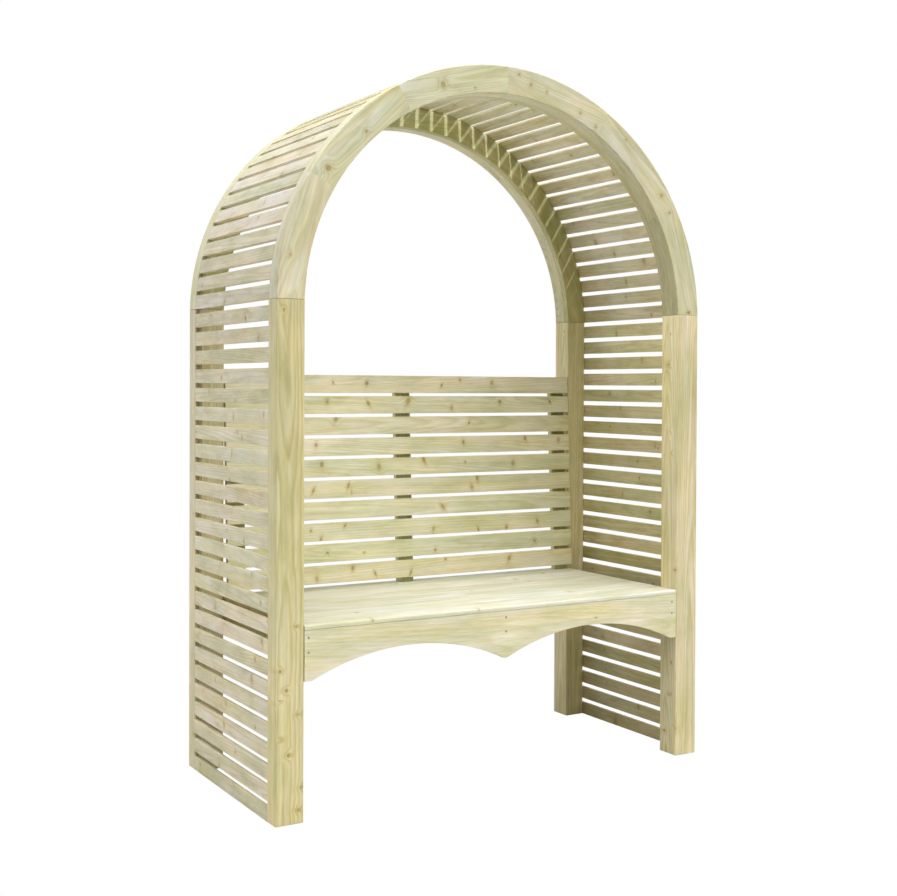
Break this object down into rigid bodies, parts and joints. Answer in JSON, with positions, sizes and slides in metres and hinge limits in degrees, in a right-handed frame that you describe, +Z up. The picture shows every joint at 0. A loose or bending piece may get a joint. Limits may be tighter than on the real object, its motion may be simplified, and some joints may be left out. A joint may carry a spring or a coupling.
{
  "type": "arbour seat",
  "caption": "Round-arched slatted timber garden arbour with a bench seat, reclined slatted back and scalloped apron, standing on four posts.",
  "frame": {"origin": "middle of the footprint of the four posts, on the ground", "axes": "+Z up, -Y towards the open front that a sitter faces, +X to the right when looking at the front"},
  "size_m": [1.3202, 0.64, 1.936],
  "materials": {
    "post_timber": "planed pressure-treated softwood, bare",
    "rib_timber": "planed pressure-treated softwood, bare",
    "slat_timber": "planed pressure-treated softwood, bare",
    "panel_timber": "planed pressure-treated softwood, bare",
    "seat_timber": "planed pressure-treated softwood, bare",
    "apron_timber": "planed pressure-treated softwood, bare",
    "frame_timber": "sawn pressure-treated softwood, bare"
  },
  "bodies": {
    "root": {"post_front_left": "post_timber", "post_front_right": "post_timber", "post_back_right": "post_timber", "post_back_left": "post_timber", "front_rib_face_1": "rib_timber", "front_rib_face_2": "rib_timber", "front_rib_face_3": "rib_timber", "front_rib_face_4": "rib_timber", "front_rib_face_5": "rib_timber", "front_rib_face_6": "rib_timber", "front_rib_inner_1": "rib_timber", "front_rib_inner_2": "rib_timber", "front_rib_inner_3": "rib_timber", "front_rib_inner_4": "rib_timber", "front_rib_inner_5": "rib_timber", "back_rib_face_1": "rib_timber", "back_rib_face_2": "rib_timber", "back_rib_face_3": "rib_timber", "back_rib_face_4": "rib_timber", "back_rib_face_5": "rib_timber", "back_rib_face_6": "rib_timber", "back_rib_inner_1": "rib_timber", "back_rib_inner_2": "rib_timber", "back_rib_inner_3": "rib_timber", "back_rib_inner_4": "rib_timber", "back_rib_inner_5": "rib_timber", "side_slats_left": "slat_timber", "side_slats_right": "slat_timber", "arch_slats_1": "slat_timber", "arch_slats_2": "slat_timber", "arch_slats_3": "slat_timber", "arch_slats_4": "slat_timber", "arch_slats_5": "slat_timber", "arch_slats_6": "slat_timber", "arch_slats_7": "slat_timber", "arch_slats_8": "slat_timber", "back_slat_1": "panel_timber", "back_slat_2": "panel_timber", "back_slat_3": "panel_timber", "back_slat_4": "panel_timber", "back_slat_5": "panel_timber", "back_slat_6": "panel_timber", "back_slat_7": "panel_timber", "back_slat_8": "panel_timber", "back_slat_9": "panel_timber", "back_slat_10": "panel_timber", "back_batten_left": "frame_timber", "back_batten_centre": "frame_timber", "back_batten_right": "frame_timber", "seat_board_1": "seat_timber", "seat_board_2": "seat_timber", "seat_board_3": "seat_timber", "seat_board_4": "seat_timber", "seat_board_5": "seat_timber", "seat_board_6": "seat_timber", "side_bearer_left": "frame_timber", "side_bearer_right": "frame_timber", "centre_bearer": "frame_timber", "rear_rail": "frame_timber", "seat_apron": "apron_timber"}
  },
  "joints": []
}
